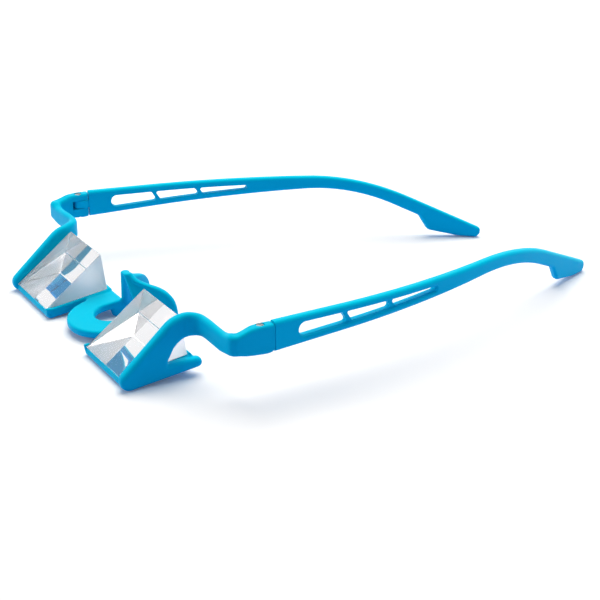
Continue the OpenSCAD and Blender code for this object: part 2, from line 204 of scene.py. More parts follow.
class Form:
    """A closed mesh under construction, in millimetres."""

    TURN_STEPS = 40

    def __init__(self) -> None:
        """Starts with nothing in it."""
        self.bm = bmesh.new()

    def plate(self, outline: list[Point], low: float, high: float, edge: float = 0.0,
              place: Matrix = Matrix.Identity(4), steps: int = 5) -> "Form":
        """Adds a plate whose edges are rounded on both faces.

        Args:
            outline: The plate's outline, anticlockwise.
            low: Depth of its lower face.
            high: Depth of its upper face.
            edge: Radius of its edges, or 0.
            place: Turns and moves the plate from (outline, depth) to where it belongs.
            steps: Steps in each rounded edge.

        Returns:
            This form.
        """
        others = set(self.bm.verts)
        verts = [self.bm.verts.new((a, b, low + edge)) for a, b in outline]
        bottom = self.bm.faces.new(verts)
        made = bmesh.ops.extrude_face_region(self.bm, geom=[bottom], use_keep_orig=True)["geom"]
        lifted = [v for v in made if isinstance(v, bmesh.types.BMVert)]
        bmesh.ops.translate(self.bm, verts=lifted, vec=(0, 0, high - low - 2 * edge))
        top = next(f for f in made if isinstance(f, bmesh.types.BMFace))
        self.settle()
        for cap in (bottom, top) if edge else ():
            for k in range(steps):
                a0, a1 = pi / 2 * k / steps, pi / 2 * (k + 1) / steps
                bmesh.ops.inset_region(
                    self.bm, faces=[cap], thickness=edge * (cos(a0) - cos(a1)),
                    depth=edge * (sin(a1) - sin(a0)), use_boundary=True, use_even_offset=True)
        own = [v for v in self.bm.verts if v not in others]
        bmesh.ops.transform(self.bm, matrix=place, verts=own)
        self.settle()
        return self

    def loft(self, rings: list[list[Place]]) -> "Form":
        """Adds a body that runs through rings of points and is closed at both ends.

        Args:
            rings: Rings with the same count of points.

        Returns:
            This form.
        """
        ring = [self.bm.verts.new(p) for p in rings[0]]
        self.bm.faces.new(ring)
        for points in rings[1:]:
            edges = [self.bm.edges.get((a, b)) for a, b in zip(ring, ring[1:] + ring[:1])]
            made = set(bmesh.ops.extrude_edge_only(self.bm, edges=edges)["geom"])
            ring = [next(e.other_vert(v) for e in v.link_edges if e.other_vert(v) in made)
                    for v in ring]
            for vert, point in zip(ring, points):
                vert.co = point
        self.bm.faces.new(ring)
        self.settle()
        return self

    def lathe(self, profile: list[Point], centre: Place) -> "Form":
        """Adds a body of revolution about an upright axis.

        Args:
            profile: Radii and heights, from the axis at one end to the axis at the other.
            centre: A point on the axis, at height 0.

        Returns:
            This form.
        """
        at = Vector(centre)
        verts = [self.bm.verts.new(at + Vector((r, 0, z))) for r, z in profile]
        edges = [self.bm.edges.new(pair) for pair in zip(verts, verts[1:])]
        bmesh.ops.spin(self.bm, geom=verts + edges, cent=at, axis=(0, 0, 1), angle=2 * pi,
                       steps=self.TURN_STEPS, use_merge=True)
        bmesh.ops.remove_doubles(self.bm, verts=self.bm.verts, dist=MERGE)
        self.settle()
        return self

    def bevel(self, edges: list[bmesh.types.BMEdge], width: float, steps: int) -> None:
        """Bevels some of the form's edges.

        Args:
            edges: The edges.
            width: How far the bevel reaches from each edge.
            steps: How many faces it has across.
        """
        bmesh.ops.bevel(self.bm, geom=edges, offset=width, offset_type="OFFSET", segments=steps,
                        profile=0.5, affect="EDGES", material=-1)

    def settle(self) -> None:
        """Turns all faces outwards and numbers the vertices."""
        bmesh.ops.recalc_face_normals(self.bm, faces=self.bm.faces)
        self.bm.verts.index_update()

    def mirrored(self) -> "Form":
        """Adds this form's mirror image across x = 0.

        Returns:
            This form.
        """
        twin = bmesh.ops.duplicate(self.bm, geom=list(self.bm.faces))["geom"]
        verts = [v for v in twin if isinstance(v, bmesh.types.BMVert)]
        bmesh.ops.scale(self.bm, vec=(-1, 1, 1), verts=verts)
        self.settle()
        return self

    def flipped(self, side: Side) -> "Form":
        """Moves this form, made on the left, to a side.

        Args:
            side: The wearer's side. The right one gets the mirror image.

        Returns:
            This form.
        """
        bmesh.ops.scale(self.bm, vec=(side.value, 1, 1), verts=self.bm.verts)
        self.settle()
        return self

    def absorb(self, other: "Form") -> None:
        """Takes in another form's shape.

        Args:
            other: The other form, which is used up.
        """
        mesh = bpy.data.meshes.new("part")
        other.bm.to_mesh(mesh)
        other.bm.free()
        self.bm.from_mesh(mesh)
        bpy.data.meshes.remove(mesh)

    def object(self, name: str) -> bpy.types.Object:
        """Turns the form into an object in the scene, still in millimetres, and frees it.

        Args:
            name: The object's name.

        Returns:
            The object.
        """
        mesh = bpy.data.meshes.new(name)
        self.bm.to_mesh(mesh)
        self.bm.free()
        made = bpy.data.objects.new(name, mesh)
        bpy.context.scene.collection.objects.link(made)
        return made


def fixed(body: bpy.types.Object) -> None:
    """Puts what the body's modifiers make into its own mesh.

    Args:
        body: The object, whose modifiers go.
    """
    bpy.context.view_layer.update()
    graph = bpy.context.evaluated_depsgraph_get()
    shaped = bpy.data.meshes.new_from_object(body.evaluated_get(graph), depsgraph=graph)
    old = body.data
    body.modifiers.clear()
    body.data = shaped
    bpy.data.meshes.remove(old)


def worked(body: bpy.types.Object, tool: Form, how: Join) -> None:
    """Cuts a tool out of a body, or adds it.

    Args:
        body: The object that is worked on.
        tool: The shape to cut or add, which is used up.
        how: Whether it is cut or added.
    """
    other = tool.object("tool")
    step = body.modifiers.new("work", "BOOLEAN")
    step.operation = how.value
    step.solver = "MANIFOLD"
    step.object = other
    fixed(body)
    bpy.data.objects.remove(other)


def finished(body: bpy.types.Object, materials: list[bpy.types.Material], rides: str,
             stands_for: str, sharp: float = 40.0, weighted: bool = False) -> bpy.types.Object:
    """Moves a piece to the frame, dresses it and sets what it rides on.

    Args:
        body: The piece, in millimetres.
        materials: Its materials, in the order of its faces' numbers.
        rides: The body that it rides on.
        stands_for: The node that it replaces.
        sharp: Edges that turn by more than this, in degrees, stay sharp.
        weighted: Whether large faces keep their own flat look.

    Returns:
        The piece.
    """
    body.data.transform(TO_FRAME)
    for polygon in body.data.polygons:
        polygon.use_smooth = True
    body.data.set_sharp_from_angle(angle=radians(sharp))
    # A cut leaves an empty material place, so the places are set anew and the numbers put back
    numbers = [polygon.material_index for polygon in body.data.polygons]
    body.data.materials.clear()
    for material in materials:
        body.data.materials.append(material)
    body.data.polygons.foreach_set("material_index", numbers)
    if weighted:
        body.modifiers.new("flats", "WEIGHTED_NORMAL").keep_sharp = True
    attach(body, rides)
    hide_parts(stands_for)
    log.info("%s: %d faces, rides on %s", body.name, len(body.data.polygons), rides)
    return body


# Finishes


class Tree:
    """A node tree that grows node by node."""

    def __init__(self, tree: bpy.types.NodeTree) -> None:
        """Starts with the tree empty."""
        self.tree = tree
        self.tree.nodes.clear()

    def put(self, socket: Socket, value: Input) -> None:
        """Links an output to a socket, or gives the socket a value.

        Args:
            socket: The input.
            value: The output, or the value.
        """
        if isinstance(value, Socket):
            self.tree.links.new(value, socket)
        else:
            socket.default_value = (*value, 1.0) if socket.type == "RGBA" else value

    def fill(self, node: bpy.types.Node, **inputs: Input) -> bpy.types.Node:
        """Gives a node its inputs.

        Args:
            node: The node.
            inputs: What goes into each input, under its name with underscores for spaces.

        Returns:
            The node.
        """
        for name, value in inputs.items():
            self.put(node.inputs[name.replace("_", " ")], value)
        return node

    def add(self, kind: str, **inputs: Input) -> bpy.types.Node:
        """Adds a node of a kind and gives it its inputs."""
        return self.fill(self.tree.nodes.new(f"ShaderNode{kind}"), **inputs)

    def seen_rays(self) -> Socket:
        """Tells rays that are seen, directly or in glass or metal, from rays that only light a surface.

        Returns:
            1 for a seen ray and 0 for others.
        """
        path = self.add("LightPath").outputs
        seen = path["Is Camera Ray"]
        for name in ("Is Glossy Ray", "Is Transmission Ray"):
            either = self.add("Math")
            either.operation = "MAXIMUM"
            self.put(either.inputs[0], seen)
            self.put(either.inputs[1], path[name])
            seen = either.outputs[0]
        return seen


class Nodes(Tree):
    """A material's node tree."""

    # Range of a noise pattern that most of its area lies in
    WEAK, STRONG = 0.3, 0.7

    def __init__(self, name: str) -> None:
        """Starts a material with a Principled shader.

        Args:
            name: The material's name.
        """
        self.material = bpy.data.materials.new(name)
        self.material.use_nodes = True
        super().__init__(self.material.node_tree)
        self.shader = self.add("BsdfPrincipled")
        self.add("OutputMaterial", Surface=self.shader.outputs[0])
        self.place = self.add("TexCoord").outputs["Object"]

    def dress(self, **inputs: Input) -> bpy.types.Material:
        """Gives the shader its inputs, and returns the material."""
        self.fill(self.shader, **inputs)
        return self.material

    def noise(self, size: float, detail: float, stretch: Place = (1.0, 1.0, 1.0)) -> Socket:
        """A noise pattern.

        Args:
            size: Size of its lumps, in millimetres.
            detail: How many finer layers it has.
            stretch: How much finer it is along x, y and z.

        Returns:
            The pattern's strength, from 0 to 1.
        """
        place = self.add("Mapping", Vector=self.place, Scale=stretch).outputs[0]
        return self.add("TexNoise", Vector=place, Scale=1 / (size * MM), Detail=detail).outputs[0]

    def spread(self, value: Socket, low: float, high: float) -> Socket:
        """Stretches the middle of a pattern over a range.

        Args:
            value: The pattern.
            low: What it is where the pattern is weak.
            high: What it is where the pattern is strong.

        Returns:
            The stretched pattern.
        """
        ramp = self.add("MapRange", Value=value, From_Min=self.WEAK, From_Max=self.STRONG)
        return self.fill(ramp, To_Min=low, To_Max=high).outputs[0]

    def blend(self, value: Socket, first: Colour, second: Colour) -> Socket:
        """Two colours mixed by a pattern.

        Args:
            value: The pattern.
            first: The colour where it is 0.
            second: The colour where it is 1.

        Returns:
            The mixed colour.
        """
        mix = self.add("Mix")
        mix.data_type = "RGBA"
        self.fill(mix, Factor=value)
        for socket, colour in zip((s for s in mix.inputs if s.type == "RGBA"), (first, second)):
            self.put(socket, colour)
        return next(s for s in mix.outputs if s.type == "RGBA")

    def bump(self, value: Socket, depth: float, strength: float) -> Socket:
        """The surface raised by a pattern.

        Args:
            value: The pattern.
            depth: Height of the pattern, in millimetres.
            strength: How strongly it shows.

        Returns:
            The surface's direction.
        """
        return self.add("Bump", Height=value, Distance=depth * MM, Strength=strength).outputs[0]


def shaded(colour: Colour, share: float) -> Colour:
    """A colour with a share of its brightness."""
    return tuple(share * c for c in colour)


@dataclass(frozen=True)
class SoftPlastic:
    """Moulded plastic with a fine matt grain. Sizes and depths are in millimetres."""

    name: str
    colour: Colour
    deep: Colour
    roughness: float = 0.45
    index: float = 1.45
    drift: float = 14.0
    rub: float = 3.5
    grain: float = 0.25
    grain_depth: float = 0.012
    sheen: float = 0.1
    sheen_tint: Colour = (0.1, 0.75, 1.0)

    def material(self) -> bpy.types.Material:
        """The plastic's material: a slow drift of colour, a fine grain and uneven sheen.

        Returns:
            The material.
        """
        nodes = Nodes(self.name)
        drift = nodes.spread(nodes.noise(self.drift, detail=3.0), 0.0, 1.0)
        rub = nodes.noise(self.rub, detail=4.0)
        return nodes.dress(
            Base_Color=nodes.blend(drift, self.colour, self.deep),
            Roughness=nodes.spread(rub, self.roughness - 0.04, self.roughness + 0.05),
            Normal=nodes.bump(nodes.noise(self.grain, detail=3.0), self.grain_depth, strength=0.5),
            IOR=self.index, Specular_IOR_Level=self.sheen, Specular_Tint=self.sheen_tint)


@dataclass(frozen=True)
class ClearGlass:
    """Optical glass, polished or ground, with smears of a size in millimetres."""

    name: str
    tint: Colour
    roughness: float
    unevenness: float
    clearness: float
    index: float = 1.52
    smear: float = 5.0
    smear_stretch: Place = (1.0, 0.4, 1.0)

    def material(self) -> bpy.types.Material:
        """The glass's material, with faint smears.

        Returns:
            The material.
        """
        nodes = Nodes(self.name)
        smear = nodes.noise(self.smear, 3.0, self.smear_stretch)
        clouded = shaded(self.tint, 1 - self.unevenness)
        return nodes.dress(Base_Color=nodes.blend(smear, self.tint, clouded), IOR=self.index,
                           Transmission_Weight=self.clearness, Roughness=self.roughness)


@dataclass(frozen=True)
class Coating:
    """The silver under a prism or its bed, with clouds of a size in millimetres."""

    name: str
    colour: Colour
    metal: float
    roughness: float
    cloud: float = 2.5
    shade: float = 0.94

    def material(self) -> bpy.types.Material:
        """The coating's material: clouded a little, as a sprayed or poured layer is.

        Returns:
            The material.
        """
        nodes = Nodes(self.name)
        cloud = nodes.noise(self.cloud, detail=4.0)
        return nodes.dress(
            Base_Color=nodes.blend(cloud, self.colour, shaded(self.colour, self.shade)),
            Roughness=nodes.spread(cloud, self.roughness, self.roughness * 1.5), Metallic=self.metal)


@dataclass(frozen=True)
class TurnedSteel:
    """Small turned steel parts, with tool marks of a size and depth in millimetres."""

    name: str
    colour: Colour
    roughness: float
    mark: float = 0.25
    mark_stretch: Place = (1.0, 1.0, 6.0)
    mark_depth: float = 0.004
    shade: float = 0.8

    def material(self) -> bpy.types.Material:
        """The steel's material, with fine tool marks.

        Returns:
            The material.
        """
        nodes = Nodes(self.name)
        marks = nodes.noise(self.mark, 4.0, self.mark_stretch)
        return nodes.dress(
            Base_Color=nodes.blend(marks, self.colour, shaded(self.colour, self.shade)),
            Roughness=nodes.spread(marks, self.roughness - 0.06, self.roughness + 0.1),
            Normal=nodes.bump(marks, self.mark_depth, strength=0.4), Metallic=1.0)


FRONT_BLUE = SoftPlastic("blue_plastic", (0.0, 0.58, 0.81), (0.0, 0.56, 0.79))
# The temples' plastic is the front's blue made lighter: painted light, standing in for the light that
# shines through the thin temples from behind
TEMPLE_PAINTED_LIGHT_BLUE = SoftPlastic("temple_blue_plastic", (0.0, 0.64, 0.87), (0.0, 0.62, 0.85))
POLISHED = ClearGlass("polished_glass", (0.965, 0.96, 0.975), 0.0, 0.01, 1.0)
GROUND = ClearGlass("ground_glass", (0.98, 0.98, 1.0), 0.6, 0.02, 0.8)
SILVER = Coating("mirror_silver", (0.97, 0.97, 0.98), 1.0, 0.015)
ADHESIVE = Coating("adhesive_bed", (0.72, 0.74, 0.76), 0.0, 0.25)
SCREW_STEEL = TurnedSteel("screw_steel", (0.62, 0.61, 0.60), 0.3)
NUT_STEEL = TurnedSteel("nut_steel", (0.5, 0.5, 0.51), 0.36)


# Pieces


@dataclass(frozen=True)
class Hinge:
    """Where the left temple turns, the parts of the hinge, and heights below and above them all."""

    x: float = 70.15
    y: float = 34.5
    middle: float = 19.5
    slot_height: float = 3.2
    tongue_height: float = 2.9
    tongue_width: float = 3.0
    bore: float = 1.5
    thread: float = 1.44
    head_base: float = 22.65
    head_width: float = 2.5
    nut_base: float = 15.0
    nut_width: float = 2.5
    nut_height: float = 1.2
    below: float = 12.0
    above: float = 30.0

    def turned(self, profile: list[Point]) -> Form:
        """A body of revolution about the hinge's axis."""
        return Form().lathe(profile, (self.x, self.y, 0))

    def drill(self, width: float) -> Form:
        """A round cut through the whole hinge."""
        r = width / 2
        return self.turned([(0, self.below), (r, self.below), (r, self.above), (0, self.above)])

    def hexagon(self, room: float = 0.0) -> list[Point]:
        """The nut's outline, with some room across its flats."""
        return arc((self.x, self.y), (self.nut_width + room) / sqrt(3), 0, 300, 5)


@dataclass(frozen=True)
class Bed:
    """The tilted plane that a prism's mirrored face lies in, and the prism's section above it."""

    edge_z: float = 3.157
    tilt: float = 7.4
    slant: float = 26.5
    wedge: float = radians(30)

    @property
    def length(self) -> float:
        """Length of the prism along the bed."""
        return self.slant * cos(self.wedge)

    @property
    def back(self) -> float:
        """Height of the prism's rear face."""
        return self.slant * sin(self.wedge)

    def point(self, u: float, v: float) -> Point:
        """The (y, z) of a point u back along the bed and v square to it."""
        c, s = cos(radians(self.tilt)), sin(radians(self.tilt))
        return u * c - v * s, self.edge_z + u * s + v * c

    def points(self, places: Outline, start: float = 0.0) -> list[Point]:
        """The (y, z) of places whose u counts from a start."""
        return [self.point(start + u, v) for u, v in places]


HINGE = Hinge()
BED = Bed()


@dataclass(frozen=True)
class PrismGlass:
    """One glass prism: polished on its three long faces and ground on its ends and edges."""

    inner: float = 17.6
    outer: float = 44.4
    flat: float = 0.22
    chamfer: float = 0.14
    air: float = 0.02
    tip: float = 0.05
    narrowest: float = 3.0

    def outline(self) -> list[Point]:
        """The prism from the side, with its ground edges.

        Returns:
            The (y, z) outline, anticlockwise.
        """
        length, back, flat = BED.length, BED.back, self.flat
        tip = self.tip / tan(BED.wedge / 2) / 2
        c, s = cos(BED.wedge), sin(BED.wedge)
        return BED.points((
            (tip, self.air), (length - flat, self.air), (length, flat), (length, back - flat),
            (length - flat * c, back - flat * s), (tip * c, tip * s)))

    def build(self, side: Side) -> bpy.types.Object:
        """Builds the prism on one side.

        Args:
            side: The wearer's side.

        Returns:
            The finished piece.
        """
        form = Form().plate(self.outline(), self.inner, self.outer, place=UPRIGHT)
        ends = [e for e in form.bm.edges if abs(e.verts[0].co.x - e.verts[1].co.x) < MERGE]
        form.bevel(ends, self.chamfer, 1)
        form.flipped(side)
        least = self.narrowest * (self.outer - self.inner)
        for face in form.bm.faces:
            polished = abs(face.normal.x) < 0.01 and face.calc_area() > least
            face.material_index = 0 if polished else 1
        body = form.object(f"prism_glass_{side.word}")
        return finished(body, [POLISHED.material(), GROUND.material()], "front",
                        f"prism_{side.word}", sharp=10.0)


@dataclass(frozen=True)
class Cheek:
    """The side plate beside a prism. Each round is its centre's y and z and its radius."""

    inner: float = 44.55
    outer: float = 48.35
    edge: float = 1.35
    rear: float = 20.0
    arch: Place = (21.25, 10.85, 10.3)
    slot: Place = (23.6, 5.0, 9.0)
    nose: Place = (1.885, 3.2, 3.2)
    prong: Place = (24.8, 4.2, 1.65)
    slot_clear: float = 16.0
    arch_clear: float = 12.0

    def form(self) -> Form:
        """The plate, with its arch, its open slot and the prong below it.

        Returns:
            The left one.
        """
        ay, az, ar = self.arch
        sy, sz, sr = self.slot
        ny, nz, nr = self.nose
        py, pz, pr = self.prong
        brow = degrees(atan2(az - nz, ay - ny) + acos((nr - ar) / hypot(ay - ny, az - nz)))
        crest = degrees(acos((self.rear - ay) / ar))
        ceiling = degrees(acos((self.rear - sy) / sr))
        floor = 180 - degrees(asin((pz + pr - sz) / sr))
        # The corners inside the arm have no short steps beside them, because their edges are rounded
        outline = (
            arc((py, pz), pr, BED.tilt - 90, 90, 8)
            + arc((sy, sz), sr, floor, ceiling + self.slot_clear, 12)
            + [on_arc((sy, sz), sr, ceiling), on_arc((ay, az), ar, crest)]
            + arc((ay, az), ar, crest + self.arch_clear, brow, 10)
            + arc((ny, nz), nr, brow, 270 + BED.tilt, 12)
        )
        return Form().plate(outline, self.inner, self.outer, self.edge, UPRIGHT)


@dataclass(frozen=True)
class Tray:
    """The tray under a prism, and the pocket in it.

    Its spans run outwards in x. The fence, the tab and the ledge are places along and above the
    bed, and those with rear in their name count from the pocket's rear.
    """

    span: Point = (15.7, 46.15)
    edge: float = 1.3
    depth: float = 3.4
    wall: float = 1.1
    nose: Place = (1.3, 1.4, 1.4)
    nose_start: float = 98.0
    room: float = 0.15
    floor: float = 0.3
    floor_start: float = 0.4
    fence_span: Point = (16.5, 45.55)
    fence_rear: Outline = ((0.0, -1.5), (1.1, -1.5), (1.1, 0.1), (0.7, 0.5), (0.0, 0.5))
    tab_span: Point = (42.35, 45.55)
    tab_rear: Outline = ((0.0, -0.5), (1.1, -0.5), (0.4, 1.0), (0.0, 1.0))
    ledge_span: Point = (15.8, 17.45)
    ledge_edge: float = 0.8
    ledge_front: Outline = ((2.0, 0.42), (1.0, 0.8), (-0.3, 0.8), (-0.4, -1.2))
    ledge_rear: Outline = ((0.6, -1.2), (0.6, 0.35))
    pocket_span: Point = (17.45, 44.55)
    pocket_front: float = -1.2
    pocket_top: float = 1.5

    def form(self) -> Form:
        """The tray: a floor with a round front, a fence with a tab behind and a ledge inside.

        Returns:
            The left one.
        """
        rear = BED.length + self.room
        y, z, r = self.nose
        floor = arc((y, z), r, self.nose_start, 270 + BED.tilt, 12) + BED.points((
            (rear + self.wall, -self.depth), (rear + self.wall, -self.floor),
            (self.floor_start, -self.floor)))
        ledge = BED.points(self.ledge_front) + BED.points(self.ledge_rear, rear)
        form = Form().plate(floor, *self.span, self.edge, UPRIGHT)
        form.plate(BED.points(self.fence_rear, rear), *self.fence_span, place=UPRIGHT)
        form.plate(BED.points(self.tab_rear, rear), *self.tab_span, place=UPRIGHT)
        return form.plate(ledge, *self.ledge_span, self.ledge_edge, UPRIGHT)

    def pocket(self, side: Side) -> Form:
        """The room for a prism, its mirror and its bed.

        Args:
            side: The wearer's side.

        Returns:
            The cut.
        """
        rear, high = BED.length + self.room, BED.back + PAST
        outline = BED.points(((self.pocket_front, -self.floor), (rear, -self.floor), (rear, high),
                              (BED.length - self.pocket_top, high)))
        return Form().plate(outline, *self.pocket_span, place=UPRIGHT).flipped(side)


@dataclass(frozen=True)
class Arm:
    """The strip that leaves the cheek's arch, runs out to the elbow and back to the hinge.

    The elbow and the turn are a centre and radii from above. The edges are the radii at the cheek,
    along the run, behind the turn and at the end. Tops and lows are heights over x for the run
    and over y for the lug.
    """

    cheek: Cheek = Cheek()
    start: tuple[float, ...] = (15.0, 16.5, 18.0)
    elbow_in: tuple[float, ...] = (52.15, 18.86, 7.6, 7.2)
    elbow_out: Place = (52.75, 19.06, 4.4)
    turn_in: Place = (67.25, 27.66, 1.2)
    turn_out: Place = (69.95, 26.06, 2.6)
    end: float = 40.16
    edges: tuple[float, ...] = (1.4, 1.42, 1.12, 0.95)
    leave_x: float = 46.8
    leave_run: float = 4.0
    rise: float = 0.45
    rise_y: float = 19.25
    rise_run: float = 3.0
    run_top: Outline = ((55.0, 21.75), (61.5, 21.35), (66.0, 21.25), (69.6, 22.1))
    run_low: Outline = ((49.5, 14.55), (54.5, 14.95), (60.0, 14.85), (64.0, 14.8), (70.0, 15.6))
    lug_top: Outline = ((26.2, 22.1), (28.5, 22.6), (31.0, 23.4), (34.0, 23.6), (38.4, 23.5))
    lug_low: Outline = ((26.2, 15.6), (29.5, 14.9), (34.5, 14.3), (37.6, 14.3), (38.4, 14.9))

    def plan(self) -> list[tuple[Point, Point, float]]:
        """The arm from above.

        Returns:
            For each station, its inner and outer side and the radius of its edges.
        """
        root, run, lug, end = self.edges
        ix, iy, wide, long = self.elbow_in
        ox, oy, r = self.elbow_out
        tx, ty, tr = self.turn_in
        ux, uy, ur = self.turn_out
        stations = [((self.cheek.inner, y), (self.cheek.outer, y), root) for y in self.start]
        quarter = [(cos(a), sin(a)) for a in (radians(90 * k / 8) for k in range(9))]
        for c, s in quarter:
            stations.append(((ix - wide * c, iy + long * s), (ox - r * c, oy + r * s), run))
        for t in (k / 10 for k in range(1, 10)):
            stations.append((between((ix, iy + long), (tx, ty - tr), t),
                             between((ox, oy + r), (ux, uy - ur), t), run))
        for k, (c, s) in enumerate(quarter):
            stations.append(((tx + tr * s, ty - tr * c), (ux + ur * s, uy - ur * c),
                             run + (lug - run) * k / 8))
        for t in (k / 24 for k in range(1, 25)):
            stations.append((between((tx + tr, ty), (tx + tr, self.end), t),
                             between((ux + ur, uy), (ux + ur, self.end), t), lug + (end - lug) * t))
        return stations

    def heights(self, x: float, y: float) -> Point:
        """Heights of the arm's edges, which follow the cheek's rounds until the arm leaves it.

        Args:
            x: The station's x.
            y: Its y.

        Returns:
            The heights of its lower and upper edge.
        """
        if y >= self.lug_low[0][0]:
            return along(y, self.lug_low), along(y, self.lug_top)
        ay, az, ar = self.cheek.arch
        sy, sz, sr = self.cheek.slot
        leave = ease((x - self.leave_x) / self.leave_run)
        rise = self.rise * ease((y - self.rise_y) / self.rise_run)
        crest = az + sqrt(ar * ar - min(y - ay, 0.0) ** 2) + rise
        ceiling = sz + sqrt(max(0.0, sr * sr - min(y - sy, 0.0) ** 2))
        return (ceiling + (along(x, self.run_low) - ceiling) * leave,
                crest + (along(x, self.run_top) - crest) * leave)

    def form(self) -> Form:
        """The arm, as upright rounded rectangles that follow one another.

        Returns:
            The left one.
        """
        rings = []
        for inner, outer, edge in self.plan():
            low, top = self.heights(*between(inner, outer, 0.5))
            wide = hypot(outer[0] - inner[0], outer[1] - inner[1])
            box = rounded([(0, low, edge), (wide, low, edge), (wide, top, edge), (0, top, edge)], 5)
            rings.append([(*between(inner, outer, across / wide), z) for across, z in box])
        return Form().loft(rings)


@dataclass(frozen=True)
class Lug:
    """The hinge lug at the arm's end. Its open sides reach a clear place outside it."""

    turn: float = 3.7
    turn_end: float = 125.0
    rear: float = 38.34
    clear_x: Point = (62.0, 74.55)
    clear_y: float = 46.0
    slot_front: float = 31.7
    slot_outer: float = 71.8
    slot_corner: float = 0.4
    slot_clear: Point = (60.0, 42.0)
    head_room: float = 0.06
    mouth_room: float = 0.2
    mouth: Point = (23.45, 23.7)
    nut_room: float = 0.08

    def cuts(self, side: Side) -> list[Form]:
        """The room for a hinge's parts.

        Args:
            side: The wearer's side.

        Returns:
            The cuts: behind the lug, the tongue's slot, the bore, the head's seat and the nut's.
        """
        h = HINGE
        turn = arc((h.x, h.y), self.turn, 90, self.turn_end, 5)
        near, far = self.clear_x
        behind = Form().plate(
            turn + [(near, turn[-1][1]), (near, self.clear_y), (far, self.clear_y), (far, self.rear)],
            h.below, h.above)
        inside, back = self.slot_clear
        front, outer, corner = self.slot_front, self.slot_outer, self.slot_corner
        slot = rounded([(inside, front, 0), (outer, front, corner), (outer, back, 0), (inside, back, 0)], 3)
        low = h.middle - h.slot_height / 2
        room = Form().plate(slot, low, low + h.slot_height)
        r = h.head_width / 2 + self.head_room
        mouth, (base, rim) = r + self.mouth_room, self.mouth
        sink = h.turned([(0, h.head_base), (r, h.head_base), (r, base), (mouth, rim),
                         (mouth, h.above), (0, h.above)])
        seat = Form().plate(h.hexagon(self.nut_room), h.below, h.nut_base + h.nut_height)
        return [cut.flipped(side) for cut in (behind, room, h.drill(h.thread), sink, seat)]


@dataclass(frozen=True)
class Bridge:
    """The horseshoe plate between the trays, which leaves its round in two steps of the flare."""

    y: float = 16.5
    r: float = 14.9
    top: float = 3.957
    thick: float = 2.7
    edge: float = 0.75
    rear: float = 24.3
    tilt: float = 4.6
    joint: float = 16.3
    flare: float = -16.0
    flare_step: Point = (0.5, 1.2)
    flare_rise: float = 2.1
    notch_y: float = 17.5
    notch_r: float = 6.6

    def form(self) -> Form:
        """The plate.

        Returns:
            Both halves.
        """
        x, y = on_arc((0.0, self.y), self.r, self.flare)
        half = arc((0.0, self.y), self.r, -90, self.flare, 14) + [
            (x + self.flare_step[0], y + self.flare_step[1]), (self.joint, y + self.flare_rise),
            (self.joint, self.rear), (self.notch_r, self.rear),
        ] + arc((0.0, self.notch_y), self.notch_r, 0, -90, 12)
        other = [(-x, y) for x, y in reversed(half[1:-1])]
        place = Matrix.Translation((0, 0, self.top)) @ Matrix.Rotation(radians(self.tilt), 4, "X")
        return Form().plate(half + other, -self.thick, 0.0, self.edge, place)


@dataclass(frozen=True)
class NosePad:
    """A leaf that leans in to the crown and curves over behind.

    The foot's front is y over the height. The front above it goes from one y to another, and the
    rear edge is x and y over the height.
    """

    bridge: Bridge = Bridge()
    thick: float = 2.8
    bow: float = 0.5
    root: float = 0.2
    meet: float = 0.8
    level: float = 3.46
    step: float = 0.5
    foot: Outline = ((0.15, 21.6), (3.6, 20.5))
    front: Point = (25.1, 22.4)
    rear_x: Outline = ((0.15, 10.5), (3.46, 11.0), (9.0, 10.2), (12.0, 8.8), (13.6, 7.0),
                       (14.6, 5.4), (16.0, 3.4), (17.5, 1.6), (18.5, 0.9))
    rear_y: Outline = ((0.15, 32.6), (1.6, 34.1), (3.46, 34.6), (9.0, 33.9), (12.0, 32.1),
                       (13.6, 30.0), (14.6, 27.5), (16.0, 24.6), (17.5, 23.2), (18.5, 22.8))

    def ring(self, front: Vector, rear: Vector, z: float) -> list[Place]:
        """A level section: a bowed bar with round ends.

        Args:
            front: Middle of its front end.
            rear: Middle of its rear end.
            z: Its height.

        Returns:
            The ring's points.
        """
        half = self.thick / 2
        length = (rear - front).length
        way = (rear - front) / length
        lean = degrees(atan2(way.y, way.x))
        sides = [front + way * length * j / 8 for j in range(1, 8)]
        inward = Vector((-way.y, way.x))
        outline = [Vector(p) for p in arc(tuple(front), half, lean + 90, lean + 270, 6)]
        outline += [p - inward * half for p in sides]
        outline += [Vector(p) for p in arc(tuple(rear), half, lean - 90, lean + 90, 6)]
        outline += [p + inward * half for p in reversed(sides)]
        ring = []
        for p in outline:
            t = max(0.0, min(1.0, (p - front).dot(way) / length))
            bowed = p + inward * self.bow * 4 * t * (1 - t)
            ring.append((bowed.x, bowed.y, z))
        return ring

    def form(self) -> Form:
        """The pad, as level sections that follow one another.

        Returns:
            The left one.
        """
        (sole, sole_y), (foot, foot_y) = self.foot
        low_y, high_y = self.front
        crown = self.rear_x[-1][0]
        root = self.bridge.notch_r + self.thick / 2 - self.root
        steps = round((crown - sole) / self.step)
        rings = []
        for k in range(steps + 1):
            z = sole + (crown - sole) * k / steps
            lift = max(0.0, (z - self.level) / (crown - self.level))
            y = low_y + (high_y - low_y) * lift
            if z < foot:
                y = sole_y + (foot_y - sole_y) * (z - sole) / (foot - sole)
            front = Vector((root + (self.meet - root) * lift, y))
            rear = Vector((along(z, self.rear_x), along(z, self.rear_y)))
            rings.append(self.ring(front, rear, z))
        return Form().loft(rings)


